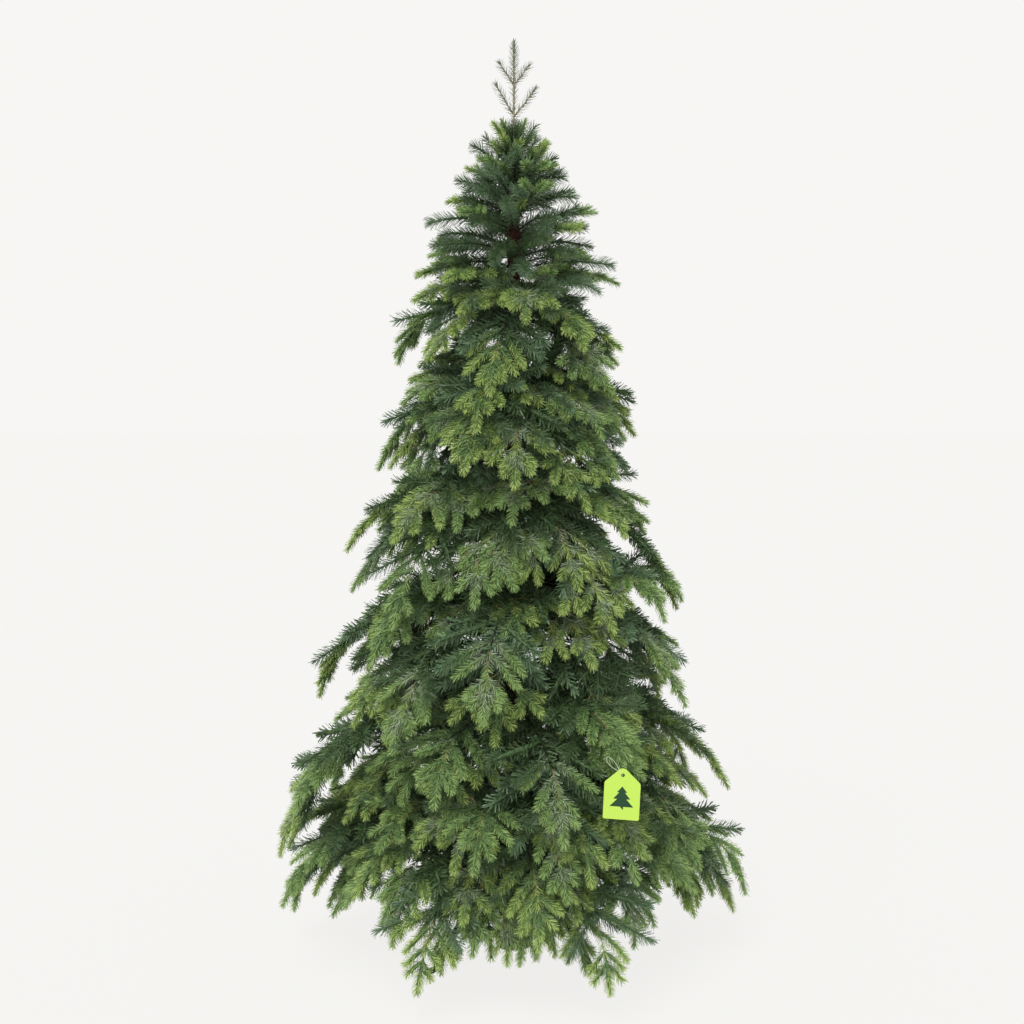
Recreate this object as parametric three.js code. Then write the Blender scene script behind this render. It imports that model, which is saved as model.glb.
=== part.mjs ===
// Artificial spruce tree: a wrapped steel pole in a plain four-legged stand, wire boughs hinged on the
// pole in tiers, and the drooping masses of foliage that the boughs carry. Millimetres, +Z up.
// The origin is on the floor, at the middle of the stand's flat underside.
import * as THREE from "three";

// ---- driving dimensions ----------------------------------------------------------------------------

const HEIGHT = 1800; // floor to the tip of the leader
const GAP = 0.3; // clearance between pieces that would otherwise touch

const POLE_FOOT_RADIUS = 19; // inside the stand's socket
const POLE_RADIUS = 17; // lowest section above the socket, with its wrapping
const POLE_TOP_RADIUS = 11; // where the pole ends and the leader starts
const POLE_TOP = 1560;
const LEADER_RADIUS = 4;
const LEADER_TIP_RADIUS = 1.6;

const SOCKET_HEIGHT = 215;
const SOCKET_WALL = 2.5;
const HUB_RADIUS = 36;
const HUB_THICK = 6;
const LEG_COUNT = 4;
const LEG_REACH = 245; // pole axis to the end of a foot
const LEG_WIDTH = 20;
const LEG_THICK = 9;
const LEG_ROOT_HEIGHT = 132; // top of a leg where it meets the socket
const FOOT_LENGTH = 34; // flat part of a leg on the floor
const FIRST_LEG_ANGLE = 45; // degrees from +X

// The tiers, from the lowest. root: height of the masses' underside at the pole. tip: height of the
// furthest tips. reach: pole axis to the furthest tips. thick: depth of the foliage near the pole.
// hollow: radius of the open space round the pole. turn: degrees from +X to the first bough.
const TIERS = [
  { count: 5, root: 185, tip: 92, reach: 482, thick: 225, hollow: 92, turn: 18 },
  { count: 5, root: 420, tip: 288, reach: 478, thick: 215, hollow: 84, turn: 54 },
  { count: 4, root: 645, tip: 555, reach: 386, thick: 210, hollow: 74, turn: 0 },
  { count: 4, root: 865, tip: 798, reach: 330, thick: 190, hollow: 64, turn: 20 },
  { count: 4, root: 1065, tip: 1034, reach: 270, thick: 165, hollow: 54, turn: 0 },
  { count: 3, root: 1238, tip: 1240, reach: 226, thick: 140, hollow: 42, turn: 60 },
];
const MASS_CLEARANCE = 9; // half of the open seam between two neighbouring masses
const SEAM_WAVE = 3.5; // degrees that a seam strays to each side
const SEAM_WAVE_LENGTH = 70; // millimetres of a seam for each radian of its wave
const FINGERS = 4; // drooping tips of one mass
const FINGER_DEPTH = 0.24; // how far the valleys between tips cut back, as a share of the reach
const FINGER_SPREAD = 0.11; // how much the tips' reach varies
const LONGEST_TIP = 3; // the column of a mass that reaches all the way
const RINGS = 5; // steps from the pole to the tips
const TIP_THICK = 20;
const THINNING = 1.8; // the higher, the longer a mass stays thick before it thins to its tips
const BUMP = 0.13; // unevenness of the surface, as a share of the local depth

const BOUGH_RADIUS = 6.5;
const BOUGH_END_RADIUS = 5;
const BOUGH_SIDES = 8;
const BOUGH_RISE = 12; // degrees above level
const BOUGH_LEVEL = 0.42; // where a bough enters the inner face of its mass, from its underside up

// The crown's top: short up-swept boughs in one uneven mass round the pole.
const CROWN_TOP = { root: 1386, rise: 34, reach: 192, thick: 222, hollow: 20, fingers: 7 };

// The leader's two whorls of side tips: height of the joint, height and reach of the tips.
const WHORLS = [
  { joint: 1640, tip: 1708, reach: 44, turn: 20 },
  { joint: 1700, tip: 1752, reach: 33, turn: 60 },
];
const SLEEVE_RADIUS = 9; // the needles close round the leader
const SLEEVE_BOTTOM = 1618;
const SLEEVE_TOP = 1790;
const LEADER_LOBES = 4;

const TRUNK_SIDES = 20;
const FOLIAGE_GREEN = 0x4f6f42;
const CROWN_GREEN = 0x3f6248;
const LEADER_GREEN = 0x7d8a68;
const POLE_BROWN = 0x3a281c;
const BOUGH_BROWN = 0x5a4a32;
const STAND_GREEN = 0x24402e;

// ---- helpers ---------------------------------------------------------------------------------------

const radians = (degrees) => (degrees * Math.PI) / 180;

// A repeatable value from 0 to 1 for a pair of numbers, which makes each mass uneven in its own way.
function uneven(a, b) {
  const wave = Math.sin(a * 12.9898 + b * 78.233) * 43758.5453;
  return wave - Math.floor(wave);
}

function paint(color, roughness, metalness) {
  return new THREE.MeshStandardMaterial({ color, roughness, metalness });
}

function namedMesh(name, geometry, material) {
  const mesh = new THREE.Mesh(geometry, material);
  mesh.name = name;
  return mesh;
}

// A closed surface from two skins of points, top and bottom, each indexed [ring][column]. The columns
// either run right round the pole or stop at two side walls.
function closedSkins(top, bottom, goesRound) {
  const rings = top.length;
  const columns = top[0].length;
  const positions = [...top.flat(), ...bottom.flat()].flat();
  const upper = (ring, column) => ring * columns + (column % columns);
  const lower = (ring, column) => rings * columns + upper(ring, column);
  const faces = [];
  const quad = (a, b, c, d) => faces.push(a, b, c, a, c, d);
  const steps = goesRound ? columns : columns - 1;
  for (let column = 0; column < steps; column += 1) {
    const next = column + 1;
    for (let ring = 0; ring < rings - 1; ring += 1) {
      quad(upper(ring, column), upper(ring + 1, column), upper(ring + 1, next), upper(ring, next));
      quad(lower(ring, column), lower(ring, next), lower(ring + 1, next), lower(ring + 1, column));
    }
    quad(upper(0, column), upper(0, next), lower(0, next), lower(0, column));
    const rim = rings - 1;
    quad(upper(rim, column), lower(rim, column), lower(rim, next), upper(rim, next));
  }
  for (let ring = 0; ring < rings - 1 && !goesRound; ring += 1) {
    const last = columns - 1;
    quad(upper(ring, 0), lower(ring, 0), lower(ring + 1, 0), upper(ring + 1, 0));
    quad(upper(ring, last), upper(ring + 1, last), lower(ring + 1, last), lower(ring, last));
  }
  const geometry = new THREE.BufferGeometry();
  geometry.setAttribute("position", new THREE.Float32BufferAttribute(positions, 3));
  geometry.setIndex(faces);
  geometry.computeVertexNormals();
  return geometry;
}

// ---- pole and leader -------------------------------------------------------------------------------

// The pole tapers evenly from the stand's socket to the leader.
function poleRadius(height) {
  const share = (height - SOCKET_HEIGHT) / (POLE_TOP - SOCKET_HEIGHT);
  return THREE.MathUtils.lerp(POLE_RADIUS, POLE_TOP_RADIUS, share);
}

function trunkGeometry() {
  const foot = HUB_THICK + GAP;
  const shoulder = 12; // length of the cones above the socket and below the leader
  const profile = [
    [0, foot],
    [POLE_FOOT_RADIUS, foot],
    [POLE_FOOT_RADIUS, SOCKET_HEIGHT + shoulder],
    [poleRadius(SOCKET_HEIGHT + 2 * shoulder), SOCKET_HEIGHT + 2 * shoulder],
    [POLE_TOP_RADIUS, POLE_TOP],
    [LEADER_RADIUS, POLE_TOP + 2 * shoulder],
    [LEADER_TIP_RADIUS, HEIGHT - 2 * LEADER_TIP_RADIUS],
    [0, HEIGHT],
  ];
  const points = profile.map(([radius, height]) => new THREE.Vector2(radius, height));
  return new THREE.LatheGeometry(points, TRUNK_SIDES).rotateX(Math.PI / 2);
}

// ---- stand -----------------------------------------------------------------------------------------

function hubGeometry() {
  const bore = POLE_FOOT_RADIUS + GAP;
  const outside = bore + SOCKET_WALL;
  const profile = [
    [0, 0],
    [HUB_RADIUS, 0],
    [HUB_RADIUS, HUB_THICK],
    [outside, HUB_THICK],
    [outside, SOCKET_HEIGHT],
    [bore, SOCKET_HEIGHT],
    [bore, HUB_THICK],
    [0, HUB_THICK],
  ];
  const points = profile.map(([radius, height]) => new THREE.Vector2(radius, height));
  return new THREE.LatheGeometry(points, TRUNK_SIDES).rotateX(Math.PI / 2);
}

// A leg is a flat bar on edge: it leaves the socket, arches down and out, and ends in a flat foot.
function legGeometry() {
  const root = HUB_RADIUS + GAP;
  const upperStart = POLE_FOOT_RADIUS + SOCKET_WALL + 3 * GAP;
  const footStart = LEG_REACH - FOOT_LENGTH;
  const bend = new THREE.Vector2(0.62 * LEG_REACH, LEG_ROOT_HEIGHT);
  const outline = new THREE.Shape();
  outline.moveTo(upperStart, LEG_ROOT_HEIGHT);
  outline.quadraticCurveTo(bend.x, bend.y, footStart + LEG_THICK / 2, LEG_THICK);
  outline.lineTo(LEG_REACH, LEG_THICK);
  outline.lineTo(LEG_REACH, 0);
  outline.lineTo(footStart, 0);
  outline.quadraticCurveTo(bend.x - LEG_THICK, bend.y - LEG_THICK, root, LEG_ROOT_HEIGHT - 2 * LEG_THICK);
  outline.lineTo(upperStart, LEG_ROOT_HEIGHT - 2 * LEG_THICK);
  outline.closePath();
  const geometry = new THREE.ExtrudeGeometry(outline, {
    depth: LEG_WIDTH,
    bevelEnabled: false,
    curveSegments: 8,
  });
  return geometry.rotateX(Math.PI / 2).translate(0, LEG_WIDTH / 2, 0);
}

// ---- masses of foliage -----------------------------------------------------------------------------

// The underside of a tier at a distance from the pole: level at the pole, arching down to the tips.
function underside(tier, distance) {
  return tier.root + (tier.tip - tier.root) * (distance / tier.reach) ** 2;
}

// Depth of the foliage: full over the inner part, thinning to the tips. share runs from 0 to 1.
function depthAt(tier, share) {
  return TIP_THICK + (tier.thick - TIP_THICK) * (1 - share ** THINNING);
}

// How far the rim reaches in one column: tips at the odd columns, valleys at the even ones.
function rimReach(reach, column, seed) {
  const isTip = column % 2 === 1;
  const varied = 1 - FINGER_SPREAD * uneven(seed, column);
  return isTip ? reach * varied : reach * (varied - FINGER_DEPTH);
}

// Angle by which a seam strays at a distance from the pole. Both masses beside it follow it.
function seamStray(level, seam, distance) {
  return radians(SEAM_WAVE) * Math.sin(distance / SEAM_WAVE_LENGTH + 3 * seam + level);
}

// One mass of a tier, made round +X: a wedge of drooping foliage between two open seams.
function massGeometry(tier, level, index) {
  const columns = 2 * FINGERS + 1;
  const halfWedge = Math.PI / tier.count;
  const seed = 7 * level + index + 1;
  const top = [];
  const bottom = [];
  for (let ring = 0; ring <= RINGS; ring += 1) {
    const upperRow = [];
    const lowerRow = [];
    for (let column = 0; column < columns; column += 1) {
      const rim = column === LONGEST_TIP ? tier.reach : rimReach(tier.reach, column, seed);
      const share = ring / RINGS;
      const distance = tier.hollow + (rim - tier.hollow) * share;
      const inset = Math.asin(MASS_CLEARANCE / distance);
      const from = inset - halfWedge + seamStray(level, index, distance);
      const to = halfWedge - inset + seamStray(level, (index + 1) % tier.count, distance);
      const angle = THREE.MathUtils.lerp(from, to, column / (columns - 1));
      const under = underside(tier, distance);
      const depth = depthAt(tier, share);
      const lift = BUMP * depth * uneven(seed + ring, column + 0.5);
      const dip = BUMP * depth * uneven(seed + ring + 0.5, column);
      const x = distance * Math.cos(angle);
      const y = distance * Math.sin(angle);
      upperRow.push([x, y, under + depth - dip]);
      lowerRow.push([x, y, under + lift * share]);
    }
    top.push(upperRow);
    bottom.push(lowerRow);
  }
  return closedSkins(top, bottom, false);
}

// The crown's top mass goes right round the pole and sweeps up towards its tips.
function crownTopGeometry() {
  const { root, rise, reach, thick, hollow, fingers } = CROWN_TOP;
  const columns = 2 * fingers;
  const top = [];
  const bottom = [];
  for (let ring = 0; ring <= RINGS; ring += 1) {
    const upperRow = [];
    const lowerRow = [];
    for (let column = 0; column < columns; column += 1) {
      const angle = (2 * Math.PI * column) / columns;
      const rim = rimReach(reach, column, fingers);
      const share = ring / RINGS;
      const distance = hollow + (rim - hollow) * share;
      const under = root + rise * (distance / reach);
      const depth = TIP_THICK + (thick - TIP_THICK) * (1 - share);
      const dip = BUMP * depth * uneven(ring, column);
      const x = distance * Math.cos(angle);
      const y = distance * Math.sin(angle);
      upperRow.push([x, y, under + depth - dip]);
      lowerRow.push([x, y, under]);
    }
    top.push(upperRow);
    bottom.push(lowerRow);
  }
  return closedSkins(top, bottom, true);
}

// The leader's sleeve of needles with its two whorls of side tips, all cut round the stem. Its outer
// and inner skins run from the bottom to the top.
function leaderGeometry() {
  const heights = [SLEEVE_BOTTOM];
  WHORLS.forEach(({ joint, tip }) => heights.push(joint, (joint + tip) / 2, tip, tip + 6));
  heights.push(SLEEVE_TOP);
  const columns = 4 * LEADER_LOBES;
  const inner = [];
  const outer = [];
  heights.sort((a, b) => a - b).forEach((height, row) => {
    const innerRow = [];
    const outerRow = [];
    for (let column = 0; column < columns; column += 1) {
      const angle = (2 * Math.PI * column) / columns;
      let radius = SLEEVE_RADIUS - 3 * (row / heights.length);
      WHORLS.forEach(({ joint, tip, reach, turn }) => {
        const along = (height - joint) / (tip - joint);
        const lobe = Math.max(0, Math.cos(LEADER_LOBES * (angle - radians(turn)))) ** 2;
        if (along > 0 && along <= 1) radius = Math.max(radius, reach * along * lobe);
      });
      const bore = LEADER_RADIUS + 1;
      innerRow.push([bore * Math.cos(angle), bore * Math.sin(angle), height]);
      outerRow.push([radius * Math.cos(angle), radius * Math.sin(angle), height]);
    }
    inner.push(innerRow);
    outer.push(outerRow);
  });
  return closedSkins(inner, outer, true);
}

// ---- assembly --------------------------------------------------------------------------------------

const foliage = paint(FOLIAGE_GREEN, 0.75, 0);
const crownFoliage = paint(CROWN_GREEN, 0.75, 0);
const leaderFoliage = paint(LEADER_GREEN, 0.75, 0);
const wrappedPole = paint(POLE_BROWN, 0.85, 0);
const wrappedWire = paint(BOUGH_BROWN, 0.85, 0);
const standPaint = paint(STAND_GREEN, 0.5, 0.2);

function addStand(tree) {
  tree.add(namedMesh("stand_hub", hubGeometry(), standPaint));
  for (let index = 0; index < LEG_COUNT; index += 1) {
    const leg = namedMesh(`stand_leg_${index + 1}`, legGeometry(), standPaint);
    leg.rotation.z = radians(FIRST_LEG_ANGLE + (360 / LEG_COUNT) * index);
    tree.add(leg);
  }
}

// A bough runs from the pole to the inner face of its mass, tapering, a little above level.
function boughMesh(name, tier) {
  const rise = radians(BOUGH_RISE);
  const setBack = BOUGH_RADIUS * Math.sin(rise) + GAP;
  const start = poleRadius(tier.root) + setBack;
  const length = (tier.hollow - setBack - start) / Math.cos(rise);
  const geometry = new THREE.CylinderGeometry(BOUGH_END_RADIUS, BOUGH_RADIUS, length, BOUGH_SIDES);
  geometry.translate(0, length / 2, 0).rotateX(Math.PI / 2);
  const bough = namedMesh(name, geometry, wrappedWire);
  bough.position.set(start, 0, tier.root + BOUGH_LEVEL * tier.thick);
  bough.rotation.y = Math.PI / 2 - rise;
  return bough;
}

function addTiers(tree) {
  TIERS.forEach((tier, level) => {
    for (let index = 0; index < tier.count; index += 1) {
      const label = `${level + 1}_${index + 1}`;
      const arm = new THREE.Group();
      arm.rotation.z = radians(tier.turn + (360 / tier.count) * index);
      arm.add(boughMesh(`bough_${label}`, tier));
      arm.add(namedMesh(`mass_${label}`, massGeometry(tier, level, index), foliage));
      tree.add(arm);
    }
  });
}

const tree = new THREE.Group();
tree.add(namedMesh("trunk", trunkGeometry(), wrappedPole));
addStand(tree);
addTiers(tree);
tree.add(namedMesh("mass_crown_top", crownTopGeometry(), crownFoliage));
tree.add(namedMesh("mass_leader", leaderGeometry(), leaderFoliage));

export default tree;
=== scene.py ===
"""Artificial spruce tree on a metal stand: the finished looks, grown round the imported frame.

Every limb starts where the frame has one and forks into boughs that fill the mass beside it. A bough is
wire dressed with dark flat-cut needles, and it ends in a flat moulded spray of lighter needles. Metres.
"""

import functools
import math
from collections import namedtuple

import bpy
import numpy as np
from bpy.props import FloatProperty, FloatVectorProperty, IntProperty, PointerProperty
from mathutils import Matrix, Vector


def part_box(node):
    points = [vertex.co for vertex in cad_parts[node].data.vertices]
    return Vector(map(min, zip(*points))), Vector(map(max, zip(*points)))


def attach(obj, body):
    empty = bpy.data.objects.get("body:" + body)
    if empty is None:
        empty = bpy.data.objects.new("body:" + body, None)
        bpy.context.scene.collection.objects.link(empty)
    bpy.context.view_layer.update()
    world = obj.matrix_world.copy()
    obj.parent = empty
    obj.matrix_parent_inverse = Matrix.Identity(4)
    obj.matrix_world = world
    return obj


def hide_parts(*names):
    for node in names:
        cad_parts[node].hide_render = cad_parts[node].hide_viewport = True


bl_info = {
    "name": "Artificial Spruce Tree",
    "version": (1, 0, 0),
    "blender": (4, 5, 0),
    "location": "View3D > Sidebar > Spruce",
    "description": "Grows an artificial spruce with moulded tips on a wrapped pole and a metal stand",
    "category": "Add Mesh",
}

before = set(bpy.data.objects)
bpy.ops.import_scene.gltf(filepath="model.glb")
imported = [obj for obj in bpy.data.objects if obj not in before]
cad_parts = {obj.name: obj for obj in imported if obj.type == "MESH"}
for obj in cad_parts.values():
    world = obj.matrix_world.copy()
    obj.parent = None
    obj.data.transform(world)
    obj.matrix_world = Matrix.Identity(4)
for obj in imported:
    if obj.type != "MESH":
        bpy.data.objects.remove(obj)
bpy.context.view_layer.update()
NODES = sorted(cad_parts)
TIERS = sorted({int(n.split("_")[1]) for n in NODES if n.startswith("bough_")})
TOP_BAND = len(TIERS) + 1
HALVES = {"low": TIERS[:2], "high": [*TIERS[2:], TOP_BAND]}  # the bands of each half of the foliage
SEED = 75
UP = np.array([0.0, 0.0, 1.0])
POLE_END = 1.605  # where the wound pole stops and the leader's bare stem goes on
LIMB_RADIUS = 0.006  # about half a limb's thickness, to find its middle line from its box
# Values at heights. How steeply tips hang, in degrees: low ones hang and the highest reach up.
FALLS = ((0.0, 62), (0.14, 60), (0.24, 54), (0.9, 54), (1.26, 50), (1.37, 14), (1.50, -25), (1.60, -40))
# How far out the crown's boughs reach, and how steeply they rise, in degrees.
CROWN_REACH = (
    (1.34, 0.208),
    (1.42, 0.190),
    (1.47, 0.165),
    (1.52, 0.138),
    (1.56, 0.112),
    (1.60, 0.078),
    (1.62, 0.045),
)
CROWN_RISE = ((1.34, -8), (1.42, 3), (1.48, 14), (1.53, 26), (1.58, 44), (1.62, 62))

# The boughs of each tier, row by row: how many one limb carries, how far their tips stand above the
# lowest tip of the mass beside that limb, their reach as a share of that mass's, and how loosely they lie.
Row = namedtuple("Row", "count lift reach loose")
ROWS = {
    1: (Row(3, 0.060, 0.96, 0.8), Row(2, 0.110, 0.93, 1), Row(3, 0.170, 0.90, 1)),
    2: (Row(2, -0.020, 0.90, 1), Row(3, 0.060, 0.90, 1), Row(2, 0.140, 0.93, 1)),
    3: (Row(3, -0.040, 0.96, 1), Row(2, 0.040, 0.96, 1), Row(3, 0.110, 0.93, 1)),
    4: (Row(2, -0.050, 0.97, 1), Row(3, 0.020, 0.92, 1), Row(2, 0.090, 0.93, 1)),
    5: (Row(2, -0.080, 0.95, 1), Row(2, -0.010, 0.96, 1), Row(2, 0.070, 0.97, 1)),
    6: (Row(2, -0.080, 0.98, 1), Row(2, -0.020, 0.98, 1), Row(2, 0.045, 0.98, 1), Row(3, 0.100, 0.96, 1)),
}
# The low boughs of each lowest limb: their tips' distance out and height, and how far each is turned from
# the limb towards the front, round the limb's own side of the tree, in degrees.
LowBough = namedtuple("LowBough", "reach tip turn")
LOW_BOUGHS = (
    LowBough(0.450, 0.062, 13),
    LowBough(0.375, 0.076, 15),
    LowBough(0.410, 0.125, 3),
    LowBough(0.400, 0.125, 25),
    LowBough(0.350, 0.102, 29),
    LowBough(0.370, 0.100, 34),
)
LOW_SCALE = 0.84  # a low bough's spray against a full one
# The share of each tier's boughs that are in flat-cut needles to the tip, and how far these reach.
FLAT_SHARE = {1: 0.04, 2: 0.05, 3: 0.06, 4: 0.06, 5: 0.08, 6: 0.16}
FLAT_REACH = 0.9
# Most boughs stop short of the outline. Some are slim, hang more steeply and reach out to it.
SLIM_SHARE = 0.32
SLIM_REACH = 0.97
SLIM_FALL = 1.3
SHORT_REACH = 0.88
PLACE_JITTER = 0.32  # how far a bough strays round the tree, as a share of its own room
HEIGHT_JITTER = 0.068
ROW_OFFSET = 0.45  # how far every other row is turned on, as a share of one bough's room
LIMB_START = 0.75  # how much further back along the limb a row's outer boughs leave it
BARE_SHARE = 0.05  # side shoots that are missing
SIDE_ANGLE = 0.80  # between a moulded side shoot and its bough, in radians
TWIG_ANGLE = 0.82  # the same for a flat-cut twig
BOUGH_RISE = math.radians(26)  # how much more steeply than its chord a bough leaves its limb
BOUGH_SWAY = 0.014
BOUGH_ROLL = 0.24
LUSH_BEHIND = 0.55  # how thickly a forked shoot is clothed behind its last joint
COARSE_THINNING = 0.58  # how much more sparsely the coarsest shoots are clothed
CROWN_BOUGHS = 56
CROWN_MOULDED_SHARE = 0.34
CROWN_TUFTS = 7  # steep short shoots at the crown's very top
POLE_TWIGS = 34  # short twigs that hide the pole through the crown
POLE_TWIGS_FROM = 1.22
COLLAR_SHOOTS = 5  # upright shoots round the leader's foot
COLLAR_SIDES = (0.0, math.pi)  # where the two moulded tips that stand out of the collar point
INNER_TWIGS = 80  # dark twigs deep in the middle tiers
INNER_HEIGHTS = (0.58, 1.22)
GOLDEN_TURN = 2.399963

# Where side shoots leave a shoot: the distance back from its end, their length, and their own joints.
Joint = namedtuple("Joint", "back size joints", defaults=((),))
SPRAY = (Joint(0.076, 0.050), Joint(0.116, 0.058), Joint(0.160, 0.128, (Joint(0.068, 0.046),)))
SLIM_SPRAY = (Joint(0.068, 0.040), Joint(0.094, 0.046), Joint(0.140, 0.080), Joint(0.185, 0.100))
FLAT_TWIGS = (Joint(0.190, 0.125), Joint(0.250, 0.135), Joint(0.320, 0.125))
LIMB_TWIGS = (Joint(0.015, 0.120), Joint(0.070, 0.140), Joint(0.125, 0.130))
SPRAY_BASE = 0.172  # from a bough's end, where the moulded spray is pushed on to the wire
TIP_LENGTH = 0.066  # the thick end of a shoot, beyond its last joint

PATH_STEPS = 13  # points along a bough
SHOOT_STEPS = 5  # points along a shoot
HUMP = np.sin(np.linspace(0, math.pi, PATH_STEPS))  # a bough's sideways or upward bulge, along its line

# A shoot that carries needles: its line, the upper side of its spray, its band of the tree, the number
# that picks its tint, how thickly and how coarsely it is clothed.
Shoot = namedtuple("Shoot", "points normal band hue lush coarse")


# ---- settings ---------------------------------------------------------------------------------------


def colour(name, text, red, green, blue):
    """A colour setting, from its red, green and blue as a paint chart gives them, 0 to 255."""
    linear = [(v / 255) ** 2.2 for v in (red, green, blue)]
    return FloatVectorProperty(
        name=name, description=text, subtype="COLOR", size=3, min=0, max=1, default=linear
    )


def length(name, text, metres):
    return FloatProperty(name=name, description=text, default=metres, min=0, unit="LENGTH")


def amount(name, text, number):
    return IntProperty(name=name, description=text, default=number, min=100)


class SpruceSizes(bpy.types.PropertyGroup):
    moulded_needle: length("Moulded needle", "Length of a moulded needle", 0.0142)
    moulded_width: length("Moulded needle width", "Width of a moulded needle", 0.0017)
    flat_needle: length("Flat-cut needle", "Length of a flat-cut needle", 0.0195)
    flat_width: length("Flat-cut needle width", "Width of a flat-cut needle", 0.0013)
    moulded_per_metre: amount("Moulded needles", "Needles on each metre of shoot", 2000)
    flat_per_metre: amount("Flat-cut needles", "Needles on each metre of wire", 1350)
    wire: length("Wire", "Radius of a bough's wire with its tape", 0.0032)
    shoot_stem: length("Shoot stem", "Radius of a moulded stem", 0.0013)
    fringe: length("Pole fringe", "Length of the fringe wound round the pole", 0.011)
    fringe_per_metre: amount("Pole fringe count", "Fringe strands on each metre of pole", 5000)


class SpruceColours(bpy.types.PropertyGroup):
    fresh_yellow: colour("Fresh yellow", "Ends of the moulded sprays", 154, 177, 98)
    fresh_green: colour("Fresh green", "Ends of the greener moulded sprays", 137, 165, 98)
    aged_green: colour("Aged green", "Inner needles of the moulded sprays", 106, 132, 82)
    grey_green: colour("Grey green", "Dusty inner needles of the moulded sprays", 147, 161, 130)
    deep_green: colour("Deep green", "Flat-cut needles", 78, 101, 66)
    blue_green: colour("Blue green", "Flat-cut needles that shine bluish", 97, 122, 90)
    # Painted shade: the tube inside each moulded tip is this darker green, which stands for the shade deep
    # between the tip's needles.
    heart_painted_shade: colour("Heart green", "Inside of a moulded shoot", 84, 110, 64)
    shoot_brown: colour("Shoot brown", "Moulded stems", 130, 116, 78)
    leader_green: colour("Leader green", "Needles of the leader", 100, 116, 88)
    leader_stem: colour("Leader stem", "Bare stem of the leader", 164, 146, 118)
    wire_brown: colour("Wire brown", "Tape round the wire", 58, 48, 32)
    pole_brown: colour("Pole brown", "Wound tape and fringe of the pole", 84, 44, 30)
    stand_green: colour("Stand green", "Paint of the stand", 28, 52, 36)
    rubber: colour("Rubber", "Feet of the stand", 26, 26, 26)
    ink: colour("Tag ink", "Conifer printed on the tag", 16, 62, 32)
    tag_lime: colour("Tag lime", "Card of the hang tag", 184, 219, 84)
    thread: colour("Thread", "Loop that holds the tag", 214, 222, 206)
    floor: colour("Floor", "Studio floor", 70, 70, 69)


class SpruceStage(bpy.types.PropertyGroup):
    eye_height: length("Eye height", "Height of the camera above the floor", 1.30)
    eye_distance: length("Eye distance", "Camera to the pole", 3.50)
    tilt: FloatProperty(
        name="Tilt",
        description="How far the camera looks down",
        default=math.radians(6.76),
        unit="ROTATION",
    )
    lens: FloatProperty(name="Lens", description="Focal length in millimetres", default=62.75, min=1)


def settings():
    return bpy.context.scene.spruce_sizes, bpy.context.scene.spruce_colours


# ---- meshes from arrays -----------------------------------------------------------------------------


def mesh_object(name, points, faces, coat, smooth=False):
    """A mesh object from an array of points and a list of face arrays, each (count, corners)."""
    sizes = np.concatenate([np.full(len(f), f.shape[1]) for f in faces])
    corners = np.concatenate([f.ravel() for f in faces]).astype(np.int32)
    starts = np.concatenate([[0], np.cumsum(sizes)[:-1]]).astype(np.int32)
    mesh = bpy.data.meshes.new(name)
    mesh.vertices.add(len(points))
    mesh.vertices.foreach_set("co", np.ascontiguousarray(points, np.float32).ravel())
    mesh.loops.add(len(corners))
    mesh.loops.foreach_set("vertex_index", corners)
    mesh.polygons.add(len(sizes))
    mesh.polygons.foreach_set("loop_start", starts)
    mesh.polygons.foreach_set("use_smooth", np.full(len(sizes), smooth))
    mesh.update(calc_edges=True)
    mesh.validate()
    mesh.materials.append(coat)
    piece = bpy.data.objects.new(name, mesh)
    bpy.context.scene.collection.objects.link(piece)
    return piece


def lay_out(piece, cells, shares):
    """Gives each corner of a piece a place on its sheet: a cell, and where in that cell it stands."""
    side = math.ceil(math.sqrt(cells.max() + 1))
    places = np.stack([cells % side, cells // side], 1) + 0.1 + 0.8 * shares
    sheet = piece.data.uv_layers.new(name="OFBake")
    sheet.data.foreach_set("uv", (places / side).astype(np.float32).ravel())


def face_by_face(piece, faces):
    """Lays a piece out with a cell for every face, its corners set round the cell's middle."""
    sizes = np.concatenate([np.full(len(f), f.shape[1]) for f in faces])
    cells = np.repeat(np.arange(len(sizes)), sizes)
    corner = np.arange(len(cells)) - np.repeat(np.cumsum(sizes) - sizes, sizes)
    turn = 2 * math.pi * corner / sizes[cells]
    lay_out(piece, cells, 0.5 + 0.5 * np.stack([np.cos(turn), np.sin(turn)], 1))


def finish_piece(piece, slot, *nodes):
    """Hangs a piece on the frame's root, and hides the frame's parts that it takes the place of."""
    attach(piece, "root")
    if nodes:
        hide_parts(*nodes)
    return piece


def unit(vectors):
    return vectors / np.maximum(np.linalg.norm(vectors, axis=-1, keepdims=True), 1e-9)


def heading(azimuth, rise=0.0):
    """The direction at an angle round the tree and an angle above level."""
    level = math.cos(rise)
    return np.array([math.cos(azimuth) * level, math.sin(azimuth) * level, math.sin(rise)])


def round_turn(sides):
    return np.arange(sides) * 2 * math.pi / sides


def ring_faces(count, steps, sides):
    """The faces of so many closed tubes, each of so many rings of so many points."""
    place = np.arange(count * steps * sides).reshape(count, steps, sides)
    near = place[:, :-1]
    far = place[:, 1:]
    walls = np.stack([near, np.roll(near, -1, 2), np.roll(far, -1, 2), far], -1).reshape(-1, 4)
    return [walls, np.concatenate([place[:, 0, ::-1], place[:, -1]])]


def tube(points, radii, sides):
    """Points and faces of closed tubes along paths: points (n, steps, 3), radii (n, steps)."""
    count, steps, _ = points.shape
    forward = unit(np.gradient(points, axis=1))
    aside = unit(np.cross(forward, np.array([0.13, 0.21, 0.97])))
    above = np.cross(forward, aside)
    turn = round_turn(sides)
    ring = np.cos(turn)[:, None] * aside[:, :, None] + np.sin(turn)[:, None] * above[:, :, None]
    rings = points[:, :, None] + ring * radii[:, :, None, None]
    return rings.reshape(-1, 3), ring_faces(count, steps, sides)


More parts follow.
